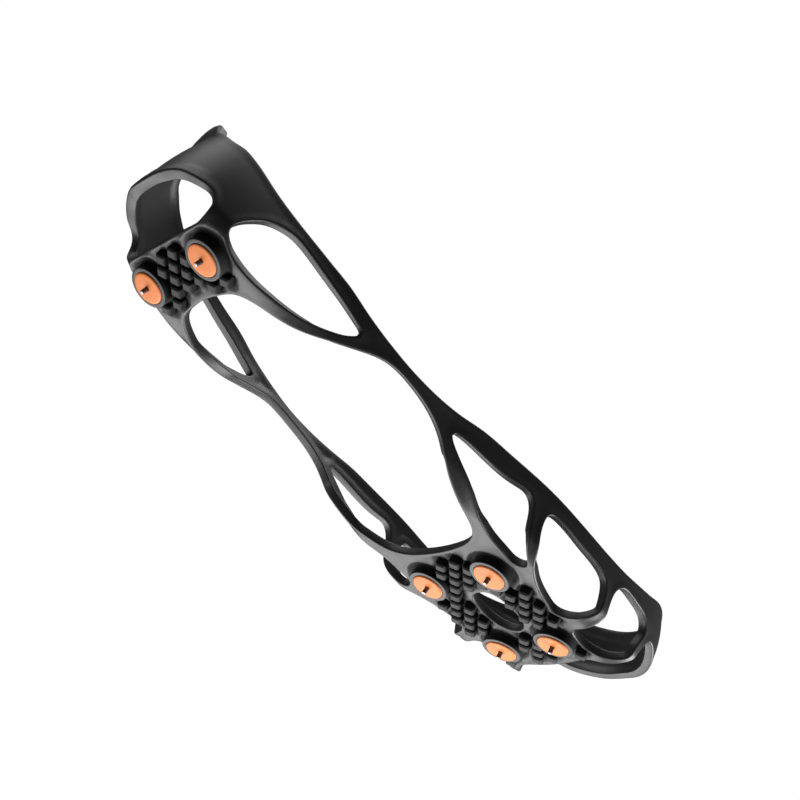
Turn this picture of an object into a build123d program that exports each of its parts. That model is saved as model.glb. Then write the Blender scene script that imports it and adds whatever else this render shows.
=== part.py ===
from build123d import *
import math
import os

os.makedirs("parts", exist_ok=True)

# Ice cleat that stretches over a shoe. Millimetres, sole down, toe towards +Y, X = 0 is the mid plane.
# Z = 0 is the flat ground that the heel pins and the rear forefoot pins stand on.

# ---------------------------------------------------------------- driving dimensions
WALL = 3.0            # thickness of the moulded rubber
FOLD_RADIUS = 7.0     # outer radius where the sole turns up into the side
TAB_HALF_WIDTH = 11.0  # heel pull tab
TAB_TOP = 64.5
TAB_BASE = 52.0
DISC_RADIUS = 6.9     # orange stud disc
DISC_RIM_HEIGHT = 0.7  # how far the disc stands out of its rubber boss
DISC_THICKNESS = 2.2
STEM_RADIUS = 3.2
BOSS_RADIUS = 8.9
BOSS_HEIGHT = 4.6     # disc face above the plate
PIN_RADIUS = 1.0
PIN_REACH = 3.0       # pin beyond the disc face
PIN_EMBED = 4.5
FIT_GAP = 0.03        # radial gap between a moulded-in piece and its seat
WASHER_RADIUS = 5.6
WASHER_THICKNESS = 0.9
PEG_SIZE = 3.1        # half diagonal of a tread peg
PEG_HEIGHT = 3.0
PEG_PITCH = 8.8       # across, pegs of one row
PEG_STEP = 4.5        # along, from row to row
PEG_MARGIN = 4.4      # from a peg's middle to the nearest opening
PEG_TO_STUD = 11.5

# studs: x, y, z of the disc face, pitch about X in degrees (positive towards the toe spring)
STUDS = {
    "heel": (20.9, 34.0, 3.09, -11.4),
    "fore_rear": (20.0, 206.2, 3.0, 0.0),
    "fore_front": (16.4, 250.9, 5.8, 6.7),
}

# half outline of the sole edge, heel centre to toe centre
OUTLINE = [
    (0, 3), (16, 5.5), (27, 13), (33.5, 26), (35.5, 45), (35, 65), (33.5, 90), (33.5, 115), (36.5, 145),
    (42.5, 175), (47, 200), (47.5, 220), (44, 243), (36, 264), (24, 280), (12, 288), (0, 291),
]
# how far the side stands out of that outline: y, at mid height, at the top
SPREAD = [
    (0, 1, -7.5), (20, 0.8, -5), (40, 1.4, -3.5), (70, 5.5, 3.5), (95, 10, 9), (120, 12, 11), (150, 9, 8), (200, 3, 1), (255, 4.5, -2),
    (290, 11, 1),
]
LEVEL_LOW, LEVEL_MID, LEVEL_TOP = 5.0, 28.0, 60.0
LEVEL_STRAIGHT = 52.0  # the side goes straight up above this

# outer face of the sole seen from the side: y, z
SOLE = [(-14, 24), (-5, 19), (14, 11.6), (34, 7.6), (55, 5.2), (120, 5.2), (206, 7.6), (251, 10.4), (300, 17.5), (318, 21)]
# top edge of the harness seen from the side: y, z
RIM = [
    (-14, 60), (7, 56.5), (9.5, 53), (12.6, 48.8), (17.7, 46.8), (24, 43.8), (35, 39.4), (49, 36), (65, 33.4),
    (78, 31.6), (91, 28.4), (104, 26.3), (117, 25.2), (130, 25.6), (142, 27.2), (156, 30.2), (168, 31.5), (192, 33.6),
    (217, 33.8), (232, 34.6), (246, 37), (263, 43), (276, 49.5), (290, 53), (318, 54),
]
# underside of the rim band: the windows end here
BAND = [
    (-14, 33), (40, 33), (57, 28.4), (70, 25.6), (84, 22.6), (96, 20.2), (106, 19.4), (120, 19.4), (134, 19.2),
    (148, 20), (164, 21.6), (184, 24.6), (204, 26), (220, 25.8), (236, 25.6), (250, 31), (262, 32.2), (272, 30),
    (283, 26), (318, 24),
]

# window outlines on the sole, unrolled: beyond the sole edge the distance is measured up the side
BIG_WINDOW = [
    (0, 49), (10, 50), (20, 53), (25, 58.5), (31, 72), (37, 87), (42, 98), (45.6, 107), (46.6, 120), (46, 133),
    (43.4, 144), (40, 152), (37, 163), (32, 178), (28.5, 184), (24, 187.5), (10, 191), (0, 191.5),
]
HEEL_WINDOW = [
    (0, 1.2), (10, 0.8), (20.5, 1.5), (27, 4.5), (32, 8.5), (35.3, 12), (36.8, 16), (35.5, 19), (32, 21),
    (27, 22.2), (15, 22.5), (0, 22.5),
]
TOE_WINDOW = [
    (0, 268), (12, 267.2), (21, 266.8), (29, 272), (36, 275.5), (41, 281), (38, 287), (30, 293), (20, 299),
    (10, 303.5), (0, 305.5),
]
CENTRE_WINDOW = [(0, 217.5), (5.5, 219), (8.5, 226), (8.5, 234), (5, 241), (0, 243)]
SIDE_WINDOWS = {
    "heel_side": ((0.82, 0.0, -0.57), [
        (33.5, 34), (36, 31.3), (42, 32), (47, 35), (51.5, 39), (55, 44.5), (57, 51), (56.5, 58), (54.5, 67),
        (51.5, 79), (48, 90.5), (46.3, 93.5), (44.5, 92.3), (40.5, 86), (36.5, 75), (34, 61.5), (32.2, 50), (31.6, 41),
    ]),
    "mid": ((0.72, 0.0, -0.69), [
        (47.9, 146), (53.5, 163), (58.5, 178), (60.2, 183.5), (58.3, 188), (53.5, 191.8), (45, 199.5), (37.5, 207),
        (34.8, 205), (34.2, 199), (35, 190), (38, 180), (41, 172), (44.5, 157),
    ]),
    "fore": ((0.70, 0.12, -0.70), [
        (61, 196.5), (63.7, 204), (63, 219), (61, 233), (58.5, 238), (52, 241.3), (46.5, 242.2), (41, 240.5), (33, 238),
        (30.3, 235), (31, 229), (34, 221), (38.5, 213.5), (47, 204), (56, 197.5),
    ]),
    "toe_side": ((0.62, 0.36, -0.70), [
        (58, 247), (60.3, 251), (59.5, 257), (57, 264), (54.5, 269.5), (50.5, 274.2), (46, 275.6), (38.5, 271.8),
        (32.5, 270.5), (29.5, 266), (26.8, 260), (27, 252), (29.5, 247.5), (36, 246.5), (45, 247), (52.5, 246),
    ]),
}


# ---------------------------------------------------------------- numbers from the tables
def smooth(table, at, column=1):
    """Value of a table at y, by cubic steps between its rows."""
    rows = [(row[0], row[column]) for row in table]
    if at <= rows[0][0]:
        return rows[0][1]
    if at >= rows[-1][0]:
        return rows[-1][1]
    slopes = []
    for i in range(len(rows)):
        before = rows[max(i - 1, 0)]
        after = rows[min(i + 1, len(rows) - 1)]
        slopes.append((after[1] - before[1]) / (after[0] - before[0]))
    for i in range(len(rows) - 1):
        y0, v0 = rows[i]
        y1, v1 = rows[i + 1]
        if y0 <= at <= y1:
            span = y1 - y0
            u = (at - y0) / span
            a = 2 * u**3 - 3 * u**2 + 1
            b = u**3 - 2 * u**2 + u
            c = -2 * u**3 + 3 * u**2
            d = u**3 - u**2
            return a * v0 + b * span * slopes[i] + c * v1 + d * span * slopes[i + 1]


def spread(y, z):
    """Distance the side stands out of the sole outline at height z."""
    low, mid, top = LEVEL_LOW, LEVEL_MID, LEVEL_TOP
    y = min(max(y, 0), 290)
    z = min(z, LEVEL_STRAIGHT)
    at_mid = smooth(SPREAD, y, 1)
    at_top = smooth(SPREAD, y, 2)
    return at_mid * (z - low) * (z - top) / ((mid - low) * (mid - top)) + at_top * (z - low) * (z - mid) / (
        (top - low) * (top - mid)
    )


def mirrored(half):
    """Closed list of points from a half list that starts and ends on X = 0."""
    return half + [(-x, y) for x, y in half[-2:0:-1]]


ring = mirrored(OUTLINE)
edge_curve = Spline(*[(x, y, 0) for x, y in ring], periodic=True)
SAMPLES = 900
ring_dense = []
for i in range(SAMPLES):
    spot = edge_curve.position_at(i / SAMPLES)
    way = edge_curve.tangent_at(i / SAMPLES)
    ring_dense.append((spot.X, spot.Y, way.Y, -way.X))


def unrolled_to_solid(x, y):
    """Point on the outer face for a point of the unrolled pattern."""
    best = min(ring_dense, key=lambda s: (s[0] - x) ** 2 + (s[1] - y) ** 2)
    ex, ey, nx, ny = best
    along = (x - ex) * nx + (y - ey) * ny
    distance = math.hypot(x - ex, y - ey)
    signed = distance if along > 0 else -distance
    radius = FOLD_RADIUS
    if signed < -radius:
        return Vector(x, y, smooth(SOLE, y))
    turn = min((signed + radius) / radius, math.pi / 2)
    inward = radius - radius * math.sin(turn)
    height = radius - radius * math.cos(turn) + max(0, signed + radius - radius * math.pi / 2)
    bx, by = ex - nx * inward, ey - ny * inward
    z = smooth(SOLE, by) + height
    out = spread(ey, max(z, 0)) * min(height / radius, 1)
    return Vector(bx + nx * out, by + ny * out, z)


# ---------------------------------------------------------------- solids
def side_section(z, inset):
    """Face of the closed outline at height z, moved inwards by inset."""
    pts = []
    for i in range(len(ring)):
        x, y = ring[i]
        spot = min(ring_dense, key=lambda s: (s[0] - x) ** 2 + (s[1] - y) ** 2)
        move = spread(y, z) - inset
        pts.append((x + spot[2] * move, y + spot[3] * move, z))
    wire = Wire(Spline(*pts, periodic=True))
    return Face(wire)


def profile_above(table, lift, top):
    """Everything above a side-view curve, as a block across the full width."""
    pts = [(y, z + lift) for y, z in table]
    line = Spline(*[(0, y, z) for y, z in pts])
    cap = Polyline((0, pts[-1][0], pts[-1][1]), (0, pts[-1][0], top), (0, pts[0][0], top), (0, pts[0][0], pts[0][1]))
    face = Face(Wire([line, *cap.edges()]))
    return Pos(-90, 0, 0) * extrude(face, amount=180, dir=(1, 0, 0))


LEVELS = [-8, 8, 24, 42, 68]


def last_shape(inset, sole_lift):
    """Solid with the shoe's form and its lower edges; the harness is the space between two of these."""
    body = Solid(loft([side_section(z, inset) for z in LEVELS]).wrapped)
    body = body & profile_above(SOLE, sole_lift, 90)
    low_edges = [e for e in body.edges() if e.bounding_box().max.Z < LEVELS[2] and e.length > 60]
    return body, low_edges


def rounded(body_and_edges, radius):
    """Last shape with its sole edge rounded."""
    body, low_edges = body_and_edges
    return fillet(low_edges, radius) if low_edges else body


outer = rounded(last_shape(0, 0), FOLD_RADIUS)
inner = rounded(last_shape(WALL, WALL), FOLD_RADIUS - WALL)


def tab_prism():
    """Space of the pull tab, seen from behind."""
    half, base, top = TAB_HALF_WIDTH, TAB_BASE, TAB_TOP
    bend = half * 0.75
    line = Polyline((-half - 3, 0, base), (-half, 0, base + 4), (-half, 0, top - bend))
    arc = Spline((-half, 0, top - bend), (-bend * 0.7, 0, top - 1), (0, 0, top), (bend * 0.7, 0, top - 1),
                 (half, 0, top - bend))
    back = Polyline((half, 0, top - bend), (half, 0, base + 4), (half + 3, 0, base), (-half - 3, 0, base))
    face = Face(Wire([*line.edges(), arc, *back.edges()]))
    return Pos(0, -20, 0) * extrude(face, amount=50, dir=(0, 1, 0))


def pattern_cut(points, direction, mirror_x):
    """Prism that cuts one window; direction points from the middle of the shoe out through the window."""
    way = Vector(*direction).normalized()
    spots = [unrolled_to_solid(x, y) for x, y in points]
    centre = sum(spots, Vector(0, 0, 0)) * (1 / len(spots))
    flat = [p - way * (p - centre).dot(way) for p in spots]
    reach_out = max((p - centre).dot(way) for p in spots) + 9
    reach_in = min((p - centre).dot(way) for p in spots) - 7
    start = [p + way * reach_in for p in flat]
    face = Face(Wire(Spline(*start, periodic=True)))
    cutter = extrude(face, amount=reach_out - reach_in, dir=way)
    return mirror(cutter, about=Plane.YZ) if mirror_x else cutter


cutters = [
    pattern_cut(mirrored(BIG_WINDOW), (0, 0, -1), False),
    pattern_cut(mirrored(HEEL_WINDOW), (0, -0.75, -0.66), False),
    pattern_cut(mirrored(TOE_WINDOW), (0, 0.62, -0.78), False),
    pattern_cut(mirrored(CENTRE_WINDOW), (0, 0, -1), False),
]
for direction, points in SIDE_WINDOWS.values():
    cutters.append(pattern_cut(points, direction, False))
    cutters.append(pattern_cut(points, direction, True))
cutters.append(profile_above(RIM, 0, 90) - tab_prism())
shell = outer.cut(inner, *cutters)


# ---------------------------------------------------------------- studs
def up(base, radius, height):
    """Cylinder that starts at local height base."""
    return Pos(0, 0, base + height / 2) * Cylinder(radius, height)


STEM_TOP = BOSS_HEIGHT + WALL - 0.1
stud_parts = {}
bosses = []
seats = []
for row, (stud_x, stud_y, stud_z, pitch) in STUDS.items():
    for side, side_word in ((-1, "left"), (1, "right")):
        # local origin on the disc face, local +Z up into the rubber
        place = Location((side * stud_x, stud_y, stud_z), (pitch, 0, 0))
        name = row + "_" + side_word
        disc = up(0, DISC_RADIUS, DISC_THICKNESS)
        disc = chamfer(disc.edges().filter_by(GeomType.CIRCLE).sort_by(Axis.Z)[0], 0.35)
        cap = disc + up(DISC_THICKNESS, STEM_RADIUS, STEM_TOP - DISC_THICKNESS)
        cap = cap - up(-1, PIN_RADIUS + FIT_GAP, PIN_EMBED + 1)
        pin = up(-PIN_REACH, PIN_RADIUS, PIN_REACH + PIN_EMBED)
        pin = chamfer(pin.edges().filter_by(GeomType.CIRCLE), 0.25)
        washer = up(STEM_TOP - WASHER_THICKNESS, WASHER_RADIUS, WASHER_THICKNESS)
        washer = washer - up(0, STEM_RADIUS + FIT_GAP, 20)
        boss = up(DISC_RIM_HEIGHT, BOSS_RADIUS, BOSS_HEIGHT + WALL - 1.0 - DISC_RIM_HEIGHT)
        boss = chamfer(boss.edges().filter_by(GeomType.CIRCLE).sort_by(Axis.Z)[0], 0.5)
        seat = up(-2, DISC_RADIUS + FIT_GAP, DISC_THICKNESS + 2) + up(0, STEM_RADIUS + FIT_GAP, 20)
        seat = seat + up(STEM_TOP - WASHER_THICKNESS, WASHER_RADIUS + FIT_GAP, 8)
        bosses.append(place * boss)
        seats.append(place * seat)
        stud_parts["disc_" + name] = place * cap
        stud_parts["pin_" + name] = place * pin
        stud_parts["washer_" + name] = place * washer


# ---------------------------------------------------------------- tread pegs
def peg(x, y):
    """Small diamond-shaped rubber peg standing down from the plate."""
    z = smooth(SOLE, y)
    tilt = math.degrees(math.atan(smooth(SOLE, y + 0.5) - smooth(SOLE, y - 0.5)))
    body = extrude(RegularPolygon(PEG_SIZE, 4), amount=PEG_HEIGHT + 1.0, taper=5)
    return Location((x, y, z + 1.0), (180 + tilt, 0, 0)) * body


def staggered(x_limit, y_start, y_end):
    """Peg centres on a staggered grid."""
    spots = []
    for row in range(int((y_end - y_start) / PEG_STEP) + 1):
        shift = 0 if row % 2 else PEG_PITCH / 2
        columns = int(x_limit / PEG_PITCH) + 1
        for column in range(-columns, columns + 1):
            x = column * PEG_PITCH + shift
            if abs(x) <= x_limit:
                spots.append((x, y_start + row * PEG_STEP))
    return spots


def line_distance(x, y, start, end):
    """Distance from a point to a straight run between two points."""
    run_x, run_y = end[0] - start[0], end[1] - start[1]
    share = ((x - start[0]) * run_x + (y - start[1]) * run_y) / (run_x**2 + run_y**2)
    share = min(max(share, 0), 1)
    return math.hypot(x - start[0] - share * run_x, y - start[1] - share * run_y)


opening_lines = [mirrored(half) for half in (BIG_WINDOW, HEEL_WINDOW, TOE_WINDOW, CENTRE_WINDOW)]
opening_lines += [points for _, points in SIDE_WINDOWS.values()]


def stands_clear(x, y):
    """True where a peg stands clear of every boss and every opening."""
    for stud_x, stud_y, _, _ in STUDS.values():
        if math.hypot(abs(x) - stud_x, y - stud_y) < PEG_TO_STUD:
            return False
    for line in opening_lines:
        for i in range(len(line)):
            if line_distance(abs(x), y, line[i - 1], line[i]) < PEG_MARGIN:
                return False
    return not (abs(x) < 9 and 217 < y < 243)


heel_pegs = [peg(x, y) for x, y in staggered(26, 27.7, 46) if stands_clear(x, y)]
fore_pegs = [peg(x, y) for x, y in staggered(30, 198, 263) if stands_clear(x, y)]

harness = shell.fuse(*bosses).cut(*seats)


# ---------------------------------------------------------------- harness regions
def block(x0, x1, y0, y1, z0, z1):
    """Box between two corners."""
    return Pos((x0 + x1) / 2, (y0 + y1) / 2, (z0 + z1) / 2) * Box(x1 - x0, y1 - y0, z1 - z0)


def solids_of(shape):
    """Real solids of a cut result, crumbs left out."""
    return [s for s in shape.solids() if s.volume > 20]


def side_name(solid):
    """Left or right, seen from above with the toe pointing away."""
    return "right" if solid.center().X > 0 else "left"


HEEL_END = 57.5
TOE_START = 262.0
PLATE_MIDDLE = 230.0  # across the middle of the centre window
rear_space = block(-80, 80, -20, HEEL_END, -20, 90)
heel_space = block(-30.5, 30.5, 12, HEEL_END + 5, -20, 14)
toe_space = block(-80, 80, TOE_START, 330, -20, 90)
fore_space = block(-37, 37, 180, 276, -20, 20)
band_space = profile_above(BAND, 0, 90)

rear = harness & rear_space
front = harness - rear_space
band = front & band_space
lower = front - band_space

regions = {}
regions["heel_cup"] = rear - heel_space
regions["toe_band"] = band & toe_space
regions["heel_plate"] = (rear & heel_space).fuse(*heel_pegs)
fore_plate = (lower & fore_space).fuse(*fore_pegs)
for end_word, start, end in (("rear", 180, PLATE_MIDDLE), ("front", PLATE_MIDDLE, 276)):
    regions["forefoot_plate_" + end_word + "_left"] = fore_plate & block(-40, 0, start, end, -20, 20)
    regions["forefoot_plate_" + end_word + "_right"] = fore_plate & block(0, 40, start, end, -20, 20)
for solid in solids_of(band - toe_space):
    regions["rim_band_" + side_name(solid)] = solid
STRAP_ZONES = [
    ("heel_strap", 50, 125), ("mid_strap", 125, 188), ("rear_arm", 188, 222), ("front_arm", 222, 262),
    ("toe_strap", 262, 300),
]
for solid in solids_of(lower - fore_space):
    for strap, start, end in STRAP_ZONES:
        if start <= solid.center().Y < end:
            regions[strap + "_" + side_name(solid)] = solid


# ---------------------------------------------------------------- one file per piece
pieces = {}
for name, shape in {**regions, **stud_parts}.items():
    pieces[name] = max(solids_of(shape), key=lambda s: s.volume)
boxes = [piece.bounding_box() for piece in pieces.values()]
rear_end = min(b.min.Y for b in boxes)
front_end = max(b.max.Y for b in boxes)
ground = min(b.min.Z for b in boxes)
to_origin = Pos(0, -(rear_end + front_end) / 2, -ground)
for name, piece in pieces.items():
    export_step(to_origin * piece, "parts/" + name + ".step")
print("middle of the length at", round((rear_end + front_end) / 2, 4))
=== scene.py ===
import math

import bpy
import numpy as np
from mathutils import Matrix, Vector, geometry, kdtree


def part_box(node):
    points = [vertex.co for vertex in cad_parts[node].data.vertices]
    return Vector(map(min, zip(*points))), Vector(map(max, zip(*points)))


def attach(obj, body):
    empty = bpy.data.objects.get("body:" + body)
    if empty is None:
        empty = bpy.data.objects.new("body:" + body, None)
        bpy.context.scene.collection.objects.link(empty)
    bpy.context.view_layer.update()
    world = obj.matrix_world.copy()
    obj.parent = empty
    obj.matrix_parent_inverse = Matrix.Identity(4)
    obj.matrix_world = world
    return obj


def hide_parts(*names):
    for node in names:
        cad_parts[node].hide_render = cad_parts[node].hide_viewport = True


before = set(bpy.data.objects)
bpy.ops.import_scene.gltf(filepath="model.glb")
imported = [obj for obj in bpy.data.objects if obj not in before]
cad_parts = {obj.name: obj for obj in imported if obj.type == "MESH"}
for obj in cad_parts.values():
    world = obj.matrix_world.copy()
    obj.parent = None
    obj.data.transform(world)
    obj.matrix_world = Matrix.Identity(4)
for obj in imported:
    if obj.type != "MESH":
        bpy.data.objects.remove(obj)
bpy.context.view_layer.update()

# ---------------------------------------------------------------- camera, light and floor
# The cleat is looked at from below its outer side, with the toe down and away, as on a tipped shoe.
# The light is a white room: a pale surround and five soft panels that stand round the cleat.
scene = bpy.context.scene
scene.view_settings.view_transform = "Standard"
VIEW_RIGHT = Vector((0.59866, 0.63121, 0.49314))
VIEW_UP = Vector((0.18794, -0.70915, 0.67955))
VIEW_BACK = VIEW_RIGHT.cross(VIEW_UP).normalized()
EYE = Vector((0.50036, -0.21562, -0.3062))
AIM = Vector((0, 0.0, 0.02))


def turned(right, up, back, place):
    """Matrix of an object that looks along -back from a place."""
    columns = Matrix((right, up, back)).transposed().to_4x4()
    return Matrix.Translation(place) @ columns


lens = bpy.data.cameras.new("view")
lens.sensor_width = 36
lens.lens = 70.4
lens.clip_end = 40
eye = bpy.data.objects.new("view", lens)
scene.collection.objects.link(eye)
eye.matrix_world = turned(VIEW_RIGHT, VIEW_UP, VIEW_BACK, EYE)
scene.camera = eye


def panel(name, right, up, back, width, height, watts):
    """Soft light panel that stands off in the camera's directions and is aimed at the cleat."""
    lamp = bpy.data.lights.new(name, "AREA")
    lamp.shape = "RECTANGLE"
    lamp.size = width
    lamp.size_y = height
    lamp.energy = watts
    holder = bpy.data.objects.new(name, lamp)
    scene.collection.objects.link(holder)
    offset = VIEW_RIGHT * right + VIEW_UP * up + VIEW_BACK * back
    aimed = offset.to_track_quat("Z", "Y").to_matrix().to_4x4()
    holder.matrix_world = Matrix.Translation(AIM + offset) @ aimed
    holder.visible_camera = False


panel("ground_left", -0.62, -0.85, -0.35, 1.1, 0.9, 15)
panel("toe_side", 0.66, -0.92, -0.12, 0.7, 0.6, 20)
panel("under_sole", -0.72, -0.78, 0.52, 0.5, 0.5, 7)
panel("upper_back", -0.2, 1.1, -0.3, 0.9, 0.7, 4)
panel("overhead", 0.55, 0.75, -0.45, 0.8, 0.8, 7)


class Socket:
    """One value in a material. Sums, differences, products and quotients add Math nodes."""

    def __init__(self, tree, plug=None):
        self.tree = tree
        self.plug = plug

    def node(self, kind, settings=None, links=None, out=0):
        """Any other node: its type, its settings, then the values or links of its sockets."""
        made = self.tree.nodes.new("ShaderNode" + kind)
        for key, value in (settings or {}).items():
            if key == "stops":
                while len(made.color_ramp.elements) < len(value):
                    made.color_ramp.elements.new(1)
                for element, (place, shade) in zip(made.color_ramp.elements, value):
                    element.position = place
                    element.color = (*shade, 1) if isinstance(shade, tuple) else (shade, shade, shade, 1)
            else:
                setattr(made, key, value)
        for key, value in (links or {}).items():
            if isinstance(value, Socket):
                self.tree.links.new(value.plug, made.inputs[key])
            else:
                made.inputs[key].default_value = value
        return Socket(self.tree, made.outputs[out])

    def maths(self, operation, *values):
        return self.node("Math", {"operation": operation}, dict(enumerate(values)))

    def __add__(self, other):
        return self.maths("ADD", self, other)

    def __radd__(self, other):
        return self.maths("ADD", other, self)

    def __sub__(self, other):
        return self.maths("SUBTRACT", self, other)

    def __rsub__(self, other):
        return self.maths("SUBTRACT", other, self)

    def __mul__(self, other):
        return self.maths("MULTIPLY", self, other)

    def __rmul__(self, other):
        return self.maths("MULTIPLY", other, self)

    def __truediv__(self, other):
        return self.maths("DIVIDE", self, other)

    def mixed(self, low, high):
        """Colour between two colours, by this value."""
        pick = {"data_type": "RGBA"}
        return self.node("Mix", pick, {"Factor": self, 6: low, 7: high}, out=2)


def new_material(name):
    """Empty principled material, and a Socket to start its nodes from."""
    made = bpy.data.materials.new(name)
    made.use_nodes = True
    return made, Socket(made.node_tree)


def connect(material, links):
    """Sets or links the sockets of a material's principled shader."""
    shader = material.node_tree.nodes["Principled BSDF"]
    for key, value in links.items():
        if isinstance(value, Socket):
            material.node_tree.links.new(value.plug, shader.inputs[key])
        else:
            shader.inputs[key].default_value = value


FLOOR_PAINT = (0.70, 0.70, 0.70, 1)
FLOOR_GLOW = 0.28  # keeps the far floor pale, where the panels no longer reach
FLOOR_HALF = 6


def one_sided(material, tree, shade):
    """Stage surface that is seen from its upper face only."""
    tree_nodes = material.node_tree.nodes
    behind = tree.node("NewGeometry", out="Backfacing")
    clear = tree.node("BsdfTransparent")
    white = tree.node("BsdfDiffuse", links={"Color": shade})
    glow = tree.node("Emission", links={"Color": shade, "Strength": FLOOR_GLOW})
    pale = tree.node("AddShader", links={0: white, 1: glow})
    seen = tree.node("MixShader", links={0: behind, 1: pale, 2: clear})
    material.node_tree.links.new(seen.plug, tree_nodes["Material Output"].inputs["Surface"])


def stage_sheet(name, corners, material):
    """Flat stage surface that lights nothing and shades nothing."""
    mesh = bpy.data.meshes.new(name)
    mesh.from_pydata(corners, [], [tuple(range(len(corners)))])
    mesh.materials.append(material)
    sheet = bpy.data.objects.new(name, mesh)
    scene.collection.objects.link(sheet)
    sheet.visible_diffuse = False
    sheet.visible_glossy = False
    sheet.visible_transmission = False
    sheet.visible_shadow = False
    return sheet


room = bpy.data.worlds.new("room")
scene.world = room
room.use_nodes = True
room_tree = Socket(room.node_tree)
surround = room.node_tree.nodes["Background"]
surround.inputs["Color"].default_value = (1, 1, 1, 1)
ROOM_LIGHT = 0.06
ROOM_SEEN = 0.96  # the surround looks white but lights the rubber little
looked_at = room_tree.node("LightPath", out="Is Camera Ray")
room.node_tree.links.new((looked_at * ROOM_SEEN + ROOM_LIGHT).plug, surround.inputs["Strength"])

floor_paint, floor_tree = new_material("floor_paint")
one_sided(floor_paint, floor_tree, FLOOR_PAINT)
floor_corners = [(x * FLOOR_HALF, y * FLOOR_HALF, 0) for x, y in ((-1, -1), (1, -1), (1, 1), (-1, 1))]
stage_sheet("floor", floor_corners, floor_paint)

# ---------------------------------------------------------------- rubber harness
# One black rubber moulding, stretched into the form of the shoe: heel cup with pull tab, rim band, two
# plates and the straps between them. It is about 3 mm thick, and every opening has a rounded lip.
MM = 0.001
WALL = 3.0
FOLD = 7.0  # outer radius where the sole turns up into the side
EDGE_ROUND = 0.85
INNER_ROUND = 0.5
LIP_RISE = 0.28
LIP_REACH = 3.0
LEDGE_RISE = 1.0  # thickened border above the heel window
PAD_RISE = 0.45  # the pull tab is a little thicker than the cup
OUTLINE = [
    (0, 3), (16, 5.5), (27, 13), (33.5, 26), (35.5, 45), (35, 65), (33.5, 90), (33.5, 115), (36.5, 145),
    (42.5, 175), (47, 200), (47.5, 220), (44, 243), (36, 264), (24, 280), (12, 288), (0, 291),
]
SPREAD = [
    (0, 1, -7.5), (20, 0.8, -5), (40, 1.4, -3.5), (70, 5.5, 3.5), (95, 10, 9), (120, 12, 11), (150, 9, 8),
    (200, 3, 1), (255, 4.5, -2), (290, 11, 1),
]
LOW, MIDDLE, TOP = 5.0, 28.0, 60.0
STRAIGHT = 52.0  # the side goes straight up above this
SOLE = [
    (-14, 24), (-5, 19), (14, 11.6), (34, 7.6), (55, 5.2), (120, 5.2), (206, 7.6), (251, 10.4),
    (300, 17.5), (318, 21),
]
RIM = [
    (-14, 60), (7, 56.5), (9.5, 53), (12.6, 48.8), (17.7, 46.8), (24, 43.8), (35, 39.4), (49, 36), (65, 33.4),
    (78, 31.6), (91, 28.4), (104, 26.3), (117, 25.2), (130, 25.6), (142, 27.2), (156, 30.2), (168, 31.5),
    (192, 33.6), (217, 33.8), (232, 34.6), (246, 37), (263, 43), (276, 49.5), (290, 53), (318, 54),
]
TAB_HALF, TAB_FOOT, TAB_TOP = 11.6, 53.0, 63.0
BIG_WINDOW = [
    (0, 49), (10, 50), (20, 53), (25, 58.5), (31, 72), (37, 87), (42, 98), (45.6, 107), (46.6, 120),
    (46, 133), (43.4, 144), (40, 152), (37, 163), (32, 178), (28.5, 184), (24, 187.5), (10, 191), (0, 191.5),
]
HEEL_WINDOW = [
    (0, 1.2), (10, 0.8), (20.5, 1.5), (27, 4.5), (32, 8.5), (35.3, 12), (36.8, 16), (35.5, 19), (32, 21),
    (27, 22.2), (15, 22.5), (0, 22.5),
]
TOE_WINDOW = [
    (0, 268), (12, 267.2), (21, 266.8), (29, 272), (36, 275.5), (41, 281), (38, 287), (30, 293), (20, 299),
    (10, 303.5), (0, 305.5),
]
CENTRE_WINDOW = [(0, 217.5), (5.5, 219), (8.5, 226), (8.5, 234), (5, 241), (0, 243)]
SIDE_WINDOWS = [
    [
        (33.5, 34), (36, 31.3), (42, 32), (47, 35), (51.5, 39), (55, 44.5), (57, 51), (56.5, 58), (54.5, 67),
        (51.5, 79), (48, 90.5), (46.3, 93.5), (44.5, 92.3), (40.5, 86), (36.5, 75), (34, 61.5), (32.2, 50),
        (31.6, 41),
    ],
    [
        (47.9, 146), (53.5, 163), (58.5, 178), (60.2, 183.5), (58.3, 188), (53.5, 191.8), (45, 199.5),
        (37.5, 207), (34.8, 205), (34.2, 199), (35, 190), (38, 180), (41, 172), (44.5, 157),
    ],
    [
        (61, 196.5), (63.7, 204), (63, 219), (61, 233), (58.5, 238), (52, 241.3), (46.5, 242.2), (41, 240.5),
        (33, 238), (30.3, 235), (31, 229), (34, 221), (38.5, 213.5), (47, 204), (56, 197.5),
    ],
    [
        (58, 247), (60.3, 251), (59.5, 257), (57, 264), (54.5, 269.5), (50.5, 274.2), (46, 275.6),
        (38.5, 271.8), (32.5, 270.5), (29.5, 266), (26.8, 260), (27, 252), (29.5, 247.5), (36, 246.5),
        (45, 247), (52.5, 246),
    ],
]
# studs: across, along, height of the disc face, pitch in degrees
STUDS = {
    "heel": (20.9, 34.0, 3.09, -11.4),
    "fore_rear": (20.0, 206.2, 3.0, 0.0),
    "fore_front": (16.4, 250.9, 5.8, 6.7),
}
stud_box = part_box("disc_fore_rear_right")
MID_LENGTH = STUDS["fore_rear"][1] - (stud_box[0].y + stud_box[1].y) / 2 / MM
PEG_PITCH = 8.8
PEG_STEP = 4.5
PEG_MARGIN = 4.4
PEG_TO_STUD = 11.5
PEG_SIZE = 3.1
BARE_HALF_WIDTH = 9  # no pegs round the centre window
BARE_START, BARE_END = 217, 243
HEEL_FIELD = (26, 27.7, 46)  # half width, first row and last row
FORE_FIELD = (30, 198, 263)
WASHER_RADIUS = 5.6


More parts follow.
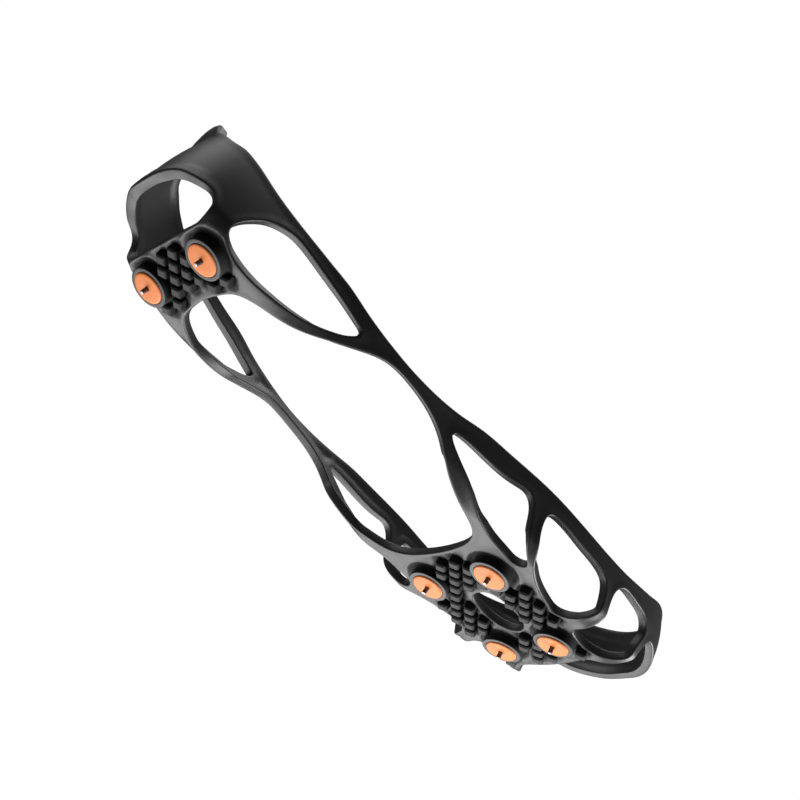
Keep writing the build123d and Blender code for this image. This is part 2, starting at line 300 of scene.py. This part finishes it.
def smooth(table, at, column=1):
    """Values of a table at many places, by cubic steps between its rows."""
    rows = np.array([(row[0], row[column]) for row in table], float)
    where, values = rows[:, 0], rows[:, 1]
    slopes = np.empty(len(rows))
    slopes[1:-1] = (values[2:] - values[:-2]) / (where[2:] - where[:-2])
    slopes[0] = (values[1] - values[0]) / (where[1] - where[0])
    slopes[-1] = (values[-1] - values[-2]) / (where[-1] - where[-2])
    at = np.clip(at, where[0], where[-1])
    i = np.clip(np.searchsorted(where, at) - 1, 0, len(rows) - 2)
    span = where[i + 1] - where[i]
    u = (at - where[i]) / span
    rise = (2 * u**3 - 3 * u**2 + 1) * values[i] + (3 * u**2 - 2 * u**3) * values[i + 1]
    return rise + span * ((u**3 - 2 * u**2 + u) * slopes[i] + (u**3 - u**2) * slopes[i + 1])


def ramp(value, low, high):
    """0 below low, 1 above high, smooth between; low may be the larger."""
    u = np.clip((value - low) / (high - low), 0, 1)
    return u * u * (3 - 2 * u)


def both_sides(half):
    """Closed list from a half list that starts and ends on the middle line."""
    return half + [(-x, y) for x, y in half[-2:0:-1]]


def closed_curve(points, step):
    """Smooth closed curve through points, as even steps."""
    knots = np.array(points, float)
    count = len(knots)
    ahead = np.roll(knots, -1, 0)
    spans = np.linalg.norm(ahead - knots, axis=1)
    system = np.zeros((count, count))
    pull = np.zeros((count, 2))
    for i in range(count):
        before, after = spans[i - 1], spans[i]
        system[i, i - 1] += before / 6
        system[i, i] += (before + after) / 3
        system[i, (i + 1) % count] += after / 6
        pull[i] = (ahead[i] - knots[i]) / after - (knots[i] - knots[i - 1]) / before
    bend = np.linalg.solve(system, pull)
    bend_ahead = np.roll(bend, -1, 0)
    line = []
    for i in range(count):
        for u in np.arange(0, 1, 1 / 48):
            v = 1 - u
            sag = spans[i] ** 2 / 6
            line.append(
                v * knots[i] + u * ahead[i] + sag * ((v**3 - v) * bend[i] + (u**3 - u) * bend_ahead[i])
            )
    return even_steps(np.array(line), step)


def even_steps(line, step):
    """A closed line again, in even steps of about the given length."""
    loop = np.vstack([line, line[:1]])
    run = np.concatenate([[0], np.cumsum(np.linalg.norm(np.diff(loop, axis=0), axis=1))])
    stops = np.linspace(0, run[-1], int(round(run[-1] / step)), endpoint=False)
    return np.stack([np.interp(stops, run, loop[:, k]) for k in range(loop.shape[1])], 1)


def side_ways(line):
    """Unit directions to the right of a closed line's run."""
    run = np.roll(line, -1, 0) - np.roll(line, 1, 0)
    run /= np.linalg.norm(run, axis=1)[:, None]
    return np.stack([run[:, 1], -run[:, 0]], 1)


sole_edge = closed_curve(both_sides(OUTLINE), 0.4)
sole_edge_out = side_ways(sole_edge)
edge_step = np.linalg.norm(sole_edge[1] - sole_edge[0])
edge_tree = kdtree.KDTree(len(sole_edge))
for i, (x, y) in enumerate(sole_edge):
    edge_tree.insert((x, y, 0), i)
edge_tree.balance()


def leaning(y, z):
    """How far the side stands out of the sole edge at a height."""
    y = np.clip(y, 0, 290)
    z = np.minimum(z, STRAIGHT)
    at_middle, at_top = smooth(SPREAD, y, 1), smooth(SPREAD, y, 2)
    part_middle = (z - LOW) * (z - TOP) / ((MIDDLE - LOW) * (MIDDLE - TOP))
    part_top = (z - LOW) * (z - MIDDLE) / ((TOP - LOW) * (TOP - MIDDLE))
    return at_middle * part_middle + at_top * part_top


def on_shoe(flat):
    """Points on the outer face of the harness for points of the unrolled pattern."""
    nearest = np.array([edge_tree.find((x, y, 0))[1] for x, y in flat])
    foot, out = sole_edge[nearest], sole_edge_out[nearest]
    along = np.stack([-out[:, 1], out[:, 0]], 1)
    turn = (sole_edge_out[(nearest + 1) % len(sole_edge)] - sole_edge_out[nearest - 1]) / 2
    fan = 1 + ((flat - foot) * out).sum(1) * (turn * along).sum(1) / edge_step
    slide = np.clip(((flat - foot) * along).sum(1) / np.maximum(fan, 0.2), -edge_step, edge_step)
    foot = foot + along * slide[:, None]
    out = out + turn * (slide / edge_step)[:, None]
    out /= np.linalg.norm(out, axis=1)[:, None]
    beyond = ((flat - foot) * out).sum(1)
    inside = beyond < -FOLD
    angle = np.clip((beyond + FOLD) / FOLD, 0, math.pi / 2)
    height = FOLD - FOLD * np.cos(angle) + np.maximum(0, beyond + FOLD - FOLD * math.pi / 2)
    base = foot - out * (FOLD - FOLD * np.sin(angle))[:, None]
    base[inside] = flat[inside]
    z = smooth(SOLE, base[:, 1]) + height
    share = 1 - (1 - np.clip(height / FOLD, 0, 1)) ** 2
    lean = leaning(foot[:, 1], np.maximum(z, 0)) * share
    return np.concatenate([base + out * lean[:, None], z[:, None]], 1)


def facing(flat):
    """Outward unit directions of the outer face."""
    small = 0.05
    across = on_shoe(flat + (small, 0)) - on_shoe(flat - (small, 0))
    along = on_shoe(flat + (0, small)) - on_shoe(flat - (0, small))
    way = np.cross(along, across)
    return way / np.linalg.norm(way, axis=1)[:, None]


def rim_curve(step):
    """Unrolled line of the harness' top edge, pull tab included."""
    height = np.full(len(sole_edge), 40.0)
    for _ in range(40):
        lean = leaning(sole_edge[:, 1], height)
        spot = sole_edge + sole_edge_out * lean[:, None]
        wanted = smooth(RIM, spot[:, 1])
        across = np.clip(np.abs(spot[:, 0]) / TAB_HALF, 0, 1)
        tab = TAB_FOOT + (TAB_TOP - TAB_FOOT) * (1 - across**2.3) ** (1 / 2.0)
        at_heel = spot[:, 1] < 60
        wanted = np.where(at_heel & (across < 1), np.maximum(tab, wanted), wanted)
        height = height * 0.5 + wanted * 0.5
    beyond = height - smooth(SOLE, sole_edge[:, 1]) - 2 * FOLD + FOLD * math.pi / 2
    return even_steps(sole_edge + sole_edge_out * beyond[:, None], step)


STEP = 1.25
MIDDLE_WINDOWS = (BIG_WINDOW, HEEL_WINDOW, TOE_WINDOW, CENTRE_WINDOW)
openings = [closed_curve(both_sides(half), STEP) for half in MIDDLE_WINDOWS]
heel_opening = openings[MIDDLE_WINDOWS.index(HEEL_WINDOW)]
for points in SIDE_WINDOWS:
    openings.append(closed_curve(points, STEP))
    openings.append(closed_curve([(-x, y) for x, y in points], STEP))
rim = rim_curve(STEP)


def turning(line):
    """Twice the signed area of a closed line."""
    ahead = np.roll(line, -1, 0)
    return (line[:, 0] * ahead[:, 1] - line[:, 1] * ahead[:, 0]).sum()


def inside_line(points, line):
    """True for the points inside a closed line."""
    hit = np.zeros(len(points), bool)
    ahead = np.roll(line, -1, 0)
    for (x0, y0), (x1, y1) in zip(line, ahead):
        if y0 != y1:
            crosses = (points[:, 1] > y0) != (points[:, 1] > y1)
            hit ^= crosses & (points[:, 0] < x0 + (points[:, 1] - y0) * (x1 - x0) / (y1 - y0))
    return hit


# every edge line runs so that the rubber lies on its right
edges = []
for line in openings:
    edges.append(line if turning(line) > 0 else line[::-1])
edges.append(rim[::-1] if turning(rim) > 0 else rim)


def staggered(x_limit, y_start, y_end):
    """Peg centres on a staggered grid that stand clear of the studs."""
    spots = []
    for row in range(int((y_end - y_start) / PEG_STEP) + 1):
        shift = 0 if row % 2 else PEG_PITCH / 2
        columns = int(x_limit / PEG_PITCH) + 1
        for column in range(-columns, columns + 1):
            x, y = column * PEG_PITCH + shift, y_start + row * PEG_STEP
            clear = all(math.hypot(abs(x) - s[0], y - s[1]) >= PEG_TO_STUD for s in STUDS.values())
            bare = abs(x) < BARE_HALF_WIDTH and BARE_START < y < BARE_END
            if abs(x) <= x_limit and clear and not bare:
                spots.append((x, y))
    return spots


def line_distances(points, line):
    """Distance from points to a closed line of straight runs."""
    least = np.full(len(points), 1e9)
    for start, end in zip(line, line[1:] + line[:1]):
        run = np.subtract(end, start)
        share = np.clip(((points - start) @ run) / (run @ run), 0, 1)
        least = np.minimum(least, np.linalg.norm(points - start - share[:, None] * run, axis=1))
    return least


peg_spots = np.array(staggered(*HEEL_FIELD) + staggered(*FORE_FIELD))
folded = np.abs(peg_spots * (1, 0)) + peg_spots * (0, 1)
opening_lines = [both_sides(half) for half in MIDDLE_WINDOWS] + SIDE_WINDOWS
peg_room = np.min([line_distances(folded, line) for line in opening_lines], axis=0)
peg_spots = peg_spots[peg_room >= PEG_MARGIN]
stud_spots = np.array([(side * s[0], s[1]) for s in STUDS.values() for side in (-1, 1)])


def distances(points, centres):
    """Distance from each point to its nearest centre."""
    return np.sqrt(((points[:, None, :] - centres[None, :, :]) ** 2).sum(2)).min(1)


edge_spots = np.concatenate([on_shoe(line) for line in edges])
edge_runs = np.concatenate([np.roll(on_shoe(line), -1, 0) - on_shoe(line) for line in edges])
edge_runs /= np.linalg.norm(edge_runs, axis=1)[:, None]
near_edge = kdtree.KDTree(len(edge_spots))
for i, spot in enumerate(edge_spots):
    near_edge.insert(spot, i)
near_edge.balance()


def to_edge(spots):
    """Distance from points of the outer face to the nearest edge of the rubber."""
    found = [near_edge.find(spot)[1] for spot in spots]
    gap = spots - edge_spots[found]
    slide = np.clip((gap * edge_runs[found]).sum(1), -STEP, STEP)
    return np.linalg.norm(gap - edge_runs[found] * slide[:, None], axis=1)


DISH_OUTER, DISH_INNER = 11.6, 9.9  # the sunk ring round a boss
FIELD_OUTER, FIELD_INNER = 4.6, 3.6  # the sunk patch round a peg
SINK = 1.0
COLLAR_RISE = 0.45
SEAT_DEPTH = 1.05
BEAD = 0.6


def sunk_areas(flat, to_rim):
    """Where the outer face is recessed: the dish round every boss, and the field that the pegs stand in;
    these also carry the painted shade.
    """
    from_stud = distances(flat, stud_spots)
    dish = ramp(from_stud, DISH_OUTER, DISH_INNER) * ramp(to_rim, 0.9, 2.4)
    near_peg = ramp(distances(flat, peg_spots), FIELD_OUTER, FIELD_INNER)
    field = near_peg * ramp(to_rim, 0.9, 2.2) * ramp(from_stud, 10.6, 11.6)
    return dish, field


def relief(flat, spots, to_rim):
    """How far the outer face stands out of the plain form: lips, dished collars, peg fields, heel ledge."""
    out = LIP_RISE * ramp(to_rim, LIP_REACH, LIP_REACH * 0.5)
    from_stud = distances(flat, stud_spots)
    dish, field = sunk_areas(flat, to_rim)
    collar = ramp(from_stud, 10.9, 12.1) * ramp(from_stud, 14.6, 12.6)
    low = np.maximum(dish, field)
    out = out * (1 - low) - SINK * low + COLLAR_RISE * collar * (1 - field) * ramp(to_rim, 0.6, 2.0)
    from_heel_window = distances(flat, heel_opening)
    behind = ramp(flat[:, 1], 14, 7)
    ledge = ramp(from_heel_window, 5.6, 4.5) * behind * ramp(np.abs(flat[:, 0]), 40, 22)
    pad = ramp(spots[:, 2], 55.0, 56.0) * behind * ramp(np.abs(flat[:, 0]), 30, 26)
    return out + LEDGE_RISE * ledge + PAD_RISE * pad * ramp(to_rim, 0.8, 1.6)


def inner_relief(flat, to_rim):
    """Depth of the shoe-side face under the outer form: washer seats, and a bead round every opening."""
    from_stud = distances(flat, stud_spots)
    seat = ramp(from_stud, WASHER_RADIUS + 0.5, WASHER_RADIUS + 0.1)
    return WALL - SEAT_DEPTH * seat + BEAD * ramp(to_rim, 4.0, 2.2) * ramp(from_stud, 7, 9)


# distances into the rubber from an edge, where its rounding is drawn
PROFILE = [0.0, 0.05, 0.14, 0.28, 0.46, 0.68, 0.95, 1.3]


def rounding(distance, radius):
    """Depth of a rounded edge at a distance from it."""
    u = np.clip(1 - np.asarray(distance) / radius, 0, 1)
    return radius * (1 - (1 - u**2.3) ** (1 / 2.3))


flat_rows, into_rows, loops = [], [], []
vertex_count = 0
for line in edges:
    into = side_ways(line)
    probe = 0.2
    stretch = np.linalg.norm(on_shoe(line + into * probe) - on_shoe(line), axis=1) / probe
    ring_rows = []
    for distance in PROFILE:
        ring_rows.append(np.arange(vertex_count, vertex_count + len(line)))
        flat_rows.append(line + into * (distance / stretch)[:, None])
        into_rows.append(np.full(len(line), distance))
        vertex_count += len(line)
    loops.append(ring_rows)
ring_flat = np.concatenate(flat_rows)
ring_into = np.concatenate(into_rows)

# even points over the faces between the edges, with rings round every stud
GRID = 1.45
low_corner, high_corner = rim.min(0), rim.max(0)
columns = np.arange(low_corner[0], high_corner[0], GRID)
rows = np.arange(low_corner[1], high_corner[1], GRID * 0.87)
grid = np.array([(x + (GRID / 2 if j % 2 else 0), y) for j, y in enumerate(rows) for x in columns])
STUD_RINGS = ((5.65, 60), (6.15, 60), (8.9, 72), (9.8, 72), (10.6, 72), (11.5, 72), (12.4, 80))
rings = []
for centre in stud_spots:
    for radius, count in STUD_RINGS:
        turn = np.arange(count) * 2 * math.pi / count
        rings.append(centre + radius * np.stack([np.cos(turn), np.sin(turn)], 1))
stud_rings = np.concatenate(rings)
from_stud = distances(grid, stud_spots)
grid = grid[(from_stud > 13.0) | (from_stud < 4.8) | ((from_stud > 6.9) & (from_stud < 8.2))]
inner_lines = [ring_flat[ring_rows[-1]] for ring_rows in loops]
filling = np.concatenate([grid, stud_rings])
keep = inside_line(filling, inner_lines[-1])
for line in inner_lines[:-1]:
    keep &= ~inside_line(filling, line)
filling = filling[keep]
filling_spots = on_shoe(filling)
filling_gap = to_edge(filling_spots)
keep = filling_gap > PROFILE[-1] + 0.55
filling, filling_spots, filling_gap = filling[keep], filling_spots[keep], filling_gap[keep]

flat = np.concatenate([ring_flat, filling])
spots = np.concatenate([on_shoe(ring_flat), filling_spots])
gap = np.concatenate([ring_into, filling_gap])
outward = facing(flat)
outer_lift = relief(flat, spots, gap) - rounding(gap, EDGE_ROUND)
inner_lift = -inner_relief(flat, gap) + rounding(gap, INNER_ROUND)
outer = spots + outward * outer_lift[:, None]
inner = spots + outward * inner_lift[:, None]

# triangles between the innermost rings
chosen = np.concatenate([*[ring_rows[-1] for ring_rows in loops], np.arange(len(ring_flat), len(flat))])
sides = []
start = 0
for ring_rows in loops:
    size = len(ring_rows[-1])
    sides += [(start + i, start + (i + 1) % size) for i in range(size)]
    start += size
made = geometry.delaunay_2d_cdt([Vector(p) for p in flat[chosen]], sides, [], 0, 1e-6)
source = [origin[0] for origin in made[3]]
triangles = np.array([[chosen[source[k]] for k in face] for face in made[2]])
middles = flat[triangles].mean(1)
keep = inside_line(middles, inner_lines[-1])
for line in inner_lines[:-1]:
    keep &= ~inside_line(middles, line)
triangles = triangles[keep]

total = len(flat)
faces = [tuple(int(k) for k in face[::-1]) for face in triangles]
faces += [tuple(int(k) + total for k in face) for face in triangles]
for ring_rows in loops:
    size = len(ring_rows[0])
    for near, far in zip(ring_rows[:-1], ring_rows[1:]):
        for i in range(size):
            j = (i + 1) % size
            a, b, c, d = int(near[i]), int(near[j]), int(far[j]), int(far[i])
            faces.append((a, b, c, d))
            faces.append((d + total, c + total, b + total, a + total))
    for i in range(size):
        a, b = int(ring_rows[0][i]), int(ring_rows[0][(i + 1) % size])
        faces.append((b, a, a + total, b + total))


def piece_of(name, points, faces, material, smooth_faces=True):
    """Object from points in millimetres along the shoe, placed in the shared frame."""
    placed = (np.asarray(points) - (0, MID_LENGTH, 0)) * MM
    mesh = bpy.data.meshes.new(name)
    mesh.from_pydata([tuple(p) for p in placed], [], faces)
    mesh.materials.append(material)
    mesh.polygons.foreach_set("use_smooth", [smooth_faces] * len(mesh.polygons))
    mesh.update()
    made = bpy.data.objects.new(name, mesh)
    scene.collection.objects.link(made)
    return made


rubber, start_node = new_material("black_rubber")
where = start_node.node("TexCoord", out="Object")
grain = start_node.node("TexNoise", links={"Vector": where, "Scale": 2600, "Detail": 3, "Roughness": 0.6})
mottle = start_node.node("TexNoise", links={"Vector": where, "Scale": 55, "Detail": 4, "Roughness": 0.55})
scuff = start_node.node("TexNoise", links={"Vector": where, "Scale": 420, "Detail": 5, "Roughness": 0.7})
# painted shade: where the mesh mark is high, the colour goes near black (0.0025) and the roughness goes up
sunk = start_node.node("Attribute", {"attribute_name": "sunk"}, out="Fac")
skin = (mottle * 0.7 + scuff * 0.3).mixed((0.010, 0.0102, 0.0106, 1), (0.030, 0.030, 0.031, 1))
shade = sunk.mixed(skin, (0.0025, 0.0025, 0.0027, 1))
rough = 0.37 + mottle * 0.12 + grain * 0.06 + sunk * 0.45
bumps = start_node.node("Bump", links={"Strength": 0.12, "Distance": 0.00004, "Height": grain + scuff * 0.5})
connect(rubber, {"Base Color": shade, "Roughness": rough, "Normal": bumps, "Specular IOR Level": 0.55})


def mark_painted_shade(thing, amounts):
    """Stores a mesh mark of painted shade: the black rubber paints these places near black and makes them
    rougher.
    """
    mark = thing.data.attributes.new("sunk", "FLOAT", "POINT")
    mark.data.foreach_set("value", np.asarray(amounts, dtype=np.float32))


harness = piece_of("harness", np.concatenate([outer, inner]), faces, rubber)
# the boss dishes and the peg fields on the outer face get painted shade; the shoe-side face gets none
mark_painted_shade(harness, np.concatenate([np.maximum(*sunk_areas(flat, gap)), np.zeros(total)]))
moulding_nodes = [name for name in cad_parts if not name.startswith(("disc_", "pin_", "washer_"))]
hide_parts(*moulding_nodes)
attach(harness, "root")

# ---------------------------------------------------------------- stud bosses
# Six round bosses of the same rubber, moulded on the plates. Each has a flat ring round its disc and a
# straight side that flares softly into the dished collar of the plate.
TURNS = 96


def lathe(profile, count=TURNS):
    """Points and faces of a profile of radius and height turned round the stud's axis."""
    points, faces = [], []
    for k in range(count):
        turn = 2 * math.pi * k / count
        points += [(r * math.cos(turn), r * math.sin(turn), z) for r, z in profile]
    size = len(profile)
    for k in range(count):
        here, ahead = k * size, (k + 1) % count * size
        for i in range(size - 1):
            faces.append((here + i, here + i + 1, ahead + i + 1, ahead + i))
    return np.array(points), faces


def at_stud(points, row, side):
    """Points of a stud part moved from its axis to its place on the sole."""
    across, along, height, pitch = STUDS[row]
    c, s = math.cos(math.radians(pitch)), math.sin(math.radians(pitch))
    x, y, z = points[:, 0], points[:, 1], points[:, 2]
    return np.stack([side * across + x, along + y * c - z * s, height + y * s + z * c], 1)


def joined(parts):
    """One point and face list from several."""
    points, faces = [], []
    shift = 0
    for some, those in parts:
        points.append(some)
        faces += [tuple(k + shift for k in face) for face in those]
        shift += len(some)
    return np.concatenate(points), faces


BOSS_PROFILE = [
    (6.96, 2.4), (6.96, 1.2), (6.98, 0.9), (7.04, 0.76), (7.15, 0.7), (7.4, 0.68), (8.45, 0.68), (8.66, 0.7),
    (8.78, 0.76), (8.86, 0.88), (8.9, 1.1), (8.92, 2.4), (8.95, 3.6), (9.02, 4.3), (9.2, 4.9), (9.55, 5.4),
    (10.1, 5.75), (10.8, 6.1),
]
STUD_PLACES = [(row, side, row + ("_left" if side < 0 else "_right")) for row in STUDS for side in (-1, 1)]
boss_points, boss_faces = lathe(BOSS_PROFILE)
parts = [(at_stud(boss_points, row, side), boss_faces) for row, side, _ in STUD_PLACES]
bosses = piece_of("stud_bosses", *joined(parts), rubber)
# painted shade on the bosses, one value per profile point: dark on the wall round the disc and on the outer
# side, none on the flat ring
BOSS_PAINTED_SHADE = [1.0, 1.0, 0.8, 0.3, 0, 0, 0, 0.1, 0.4, 0.8, 1.0, 1.0, 1.0, 1.0, 0.9, 0.8, 0.8, 0.8]
mark_painted_shade(bosses, np.tile(BOSS_PAINTED_SHADE, TURNS * len(STUD_PLACES)))
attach(bosses, "root")

# ---------------------------------------------------------------- tread pegs
# Staggered rows of diamond-shaped rubber pegs between the studs, moulded with the plates. They taper a little
# towards their tops, and the edges of each top are cut back so that they bite.
PEG_HEIGHT = 3.0
CORNER_BLUNT = 5  # degrees to each side of a corner
CORNERS = 4


def peg_shape():
    """Points and faces of one peg from rings of four slightly blunted corners."""
    rings = [
        (PEG_SIZE + 0.2, 1.6), (PEG_SIZE + 0.12, 0.4), (PEG_SIZE - 0.1, -PEG_HEIGHT + 0.85),
        (PEG_SIZE - 0.22, -PEG_HEIGHT + 0.66), (PEG_SIZE - 1.0, -PEG_HEIGHT + 0.08),
        (PEG_SIZE - 1.25, -PEG_HEIGHT),
    ]
    points, faces = [], []
    for radius, height in rings:
        for k in range(CORNERS):
            for turn in (k * 90 - CORNER_BLUNT, k * 90 + CORNER_BLUNT):
                angle = math.radians(turn)
                points.append((radius * math.cos(angle), radius * math.sin(angle), height))
    around = 2 * CORNERS
    for i in range(len(rings) - 1):
        for k in range(around):
            a, b = i * around + k, i * around + (k + 1) % around
            faces.append((a, a + around, b + around, b))
    last = (len(rings) - 1) * around
    faces.append(tuple(last + k for k in range(around)))
    return np.array(points), faces


peg_points, peg_faces = peg_shape()
parts = []
for x, y in peg_spots:
    slope = float(smooth(SOLE, y + 0.5) - smooth(SOLE, y - 0.5))
    c, s = 1 / math.hypot(1, slope), slope / math.hypot(1, slope)
    across, along, down = peg_points.T
    base = float(smooth(SOLE, y))
    placed = np.stack([x + across, y + along * c - down * s, base + along * s + down * c], 1)
    parts.append((placed, peg_faces))
pegs = piece_of("tread_pegs", *joined(parts), rubber, smooth_faces=False)
# painted shade on the pegs, one value per ring from foot to top: near black on the sides, half dark on the
# top
PEG_PAINTED_SHADE = [1.0, 1.0, 1.0, 0.9, 0.55, 0.5]
mark_painted_shade(pegs, np.tile(np.repeat(PEG_PAINTED_SHADE, 2 * CORNERS), len(parts)))
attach(pegs, "root")

# ---------------------------------------------------------------- stud discs
# Six orange discs of tough moulded plastic, each sitting in its boss and standing a little proud of it.
# A stem goes on through the rubber and is headed over the washer on the shoe side.
DISC_PROFILE = [
    (1.02, 0.9), (1.02, 0.16), (1.12, 0.04), (1.3, 0.0), (1.75, -0.02), (3.6, -0.03), (5.6, -0.01),
    (6.25, 0.03), (6.6, 0.12), (6.8, 0.28), (6.9, 0.55), (6.9, 2.05), (6.82, 2.17), (6.7, 2.2),
    (3.4, 2.2), (3.24, 2.3), (3.2, 2.5), (3.2, 7.3), (3.1, 7.45), (2.9, 7.5), (1.06, 7.5), (1.02, 7.46),
]
orange, start_node = new_material("orange_plastic")
where = start_node.node("TexCoord", out="Object")
cloud = start_node.node("TexNoise", links={"Vector": where, "Scale": 240, "Detail": 4, "Roughness": 0.6})
fine = start_node.node("TexNoise", links={"Vector": where, "Scale": 1900, "Detail": 3, "Roughness": 0.6})
hue = (cloud * 0.8 + fine * 0.2).mixed((0.74, 0.19, 0.042, 1), (0.88, 0.28, 0.08, 1))
bumps = start_node.node("Bump", links={"Strength": 0.15, "Distance": 0.00005, "Height": fine})
connect(orange, {
    "Base Color": hue, "Roughness": 0.4 + cloud * 0.16, "Normal": bumps, "Specular IOR Level": 0.3,
})
disc_points, disc_faces = lathe(DISC_PROFILE)
for row, side, word in STUD_PLACES:
    disc = piece_of("stud_disc_" + word, at_stud(disc_points, row, side), disc_faces, orange)
    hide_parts("disc_" + word)
    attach(disc, "root")

# ---------------------------------------------------------------- pins
# Six hard carbide pins, 2 mm thick, pressed into the discs. The side is dark and ground; the end face
# and its rounded edge are painted bright as a highlight.
PIN_PROFILE = [
    (0.0, -3.0), (0.55, -3.0), (0.72, -2.97), (0.85, -2.9), (0.95, -2.76), (1.0, -2.55), (1.0, -0.4),
    (1.0, 4.3), (0.9, 4.5), (0.0, 4.5),
]
HIGHLIGHT_STRIPS = 3  # rows of faces at the pin's end that are painted bright as a highlight
carbide, start_node = new_material("pin_carbide")
where = start_node.node("TexCoord", out="Object")
speck = start_node.node("TexNoise", links={"Vector": where, "Scale": 3200, "Detail": 4, "Roughness": 0.7})
streak = start_node.node("TexNoise", links={"Vector": where, "Scale": 900, "Detail": 2, "Distortion": 1.5})
metal = (speck * 0.6 + streak * 0.4).mixed((0.03, 0.03, 0.033, 1), (0.16, 0.16, 0.165, 1))
bumps = start_node.node("Bump", links={"Strength": 0.3, "Distance": 0.00004, "Height": speck})
connect(carbide, {"Base Color": metal, "Metallic": 0.75, "Roughness": 0.3 + streak * 0.25, "Normal": bumps})
# painted highlight: the pin's end face and its rounded edge get a much lighter colour than the dark side,
# standing in for the light that falls on them
tip_painted_highlight, start_node = new_material("pin_tip_painted_highlight")
where = start_node.node("TexCoord", out="Object")
speck = start_node.node("TexNoise", links={"Vector": where, "Scale": 4200, "Detail": 4, "Roughness": 0.7})
metal = speck.mixed((0.30, 0.30, 0.31, 1), (0.62, 0.61, 0.59, 1))
bumps = start_node.node("Bump", links={"Strength": 0.35, "Distance": 0.00004, "Height": speck})
connect(tip_painted_highlight, {"Base Color": metal, "Metallic": 0.6, "Roughness": 0.32 + speck * 0.25, "Normal": bumps})
pin_points, pin_faces = lathe(PIN_PROFILE, count=48)
for row, side, word in STUD_PLACES:
    pin = piece_of("stud_pin_" + word, at_stud(pin_points, row, side), pin_faces, carbide)
    pin.data.materials.append(tip_painted_highlight)
    for i, polygon in enumerate(pin.data.polygons):
        # the end face and its rounded edge take the painted highlight material
        polygon.material_index = int(i % (len(PIN_PROFILE) - 1) < HIGHLIGHT_STRIPS)
    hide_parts("pin_" + word)
    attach(pin, "root")

# ---------------------------------------------------------------- washers
# Six pressed steel washers on the shoe side, under the headed stems, so that the studs can't pull out.
steel, start_node = new_material("washer_steel")
where = start_node.node("TexCoord", out="Object")
brushed = start_node.node("TexNoise", links={"Vector": where, "Scale": 1300, "Detail": 4, "Distortion": 0.6})
blotch = start_node.node("TexNoise", links={"Vector": where, "Scale": 260, "Detail": 3})
metal = blotch.mixed((0.36, 0.36, 0.37, 1), (0.60, 0.60, 0.61, 1))
bumps = start_node.node("Bump", links={"Strength": 0.25, "Distance": 0.00004, "Height": brushed})
connect(steel, {"Base Color": metal, "Metallic": 1.0, "Roughness": 0.28 + brushed * 0.22, "Normal": bumps})
for name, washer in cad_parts.items():
    if name.startswith("washer_"):
        washer.data.materials.clear()
        washer.data.materials.append(steel)
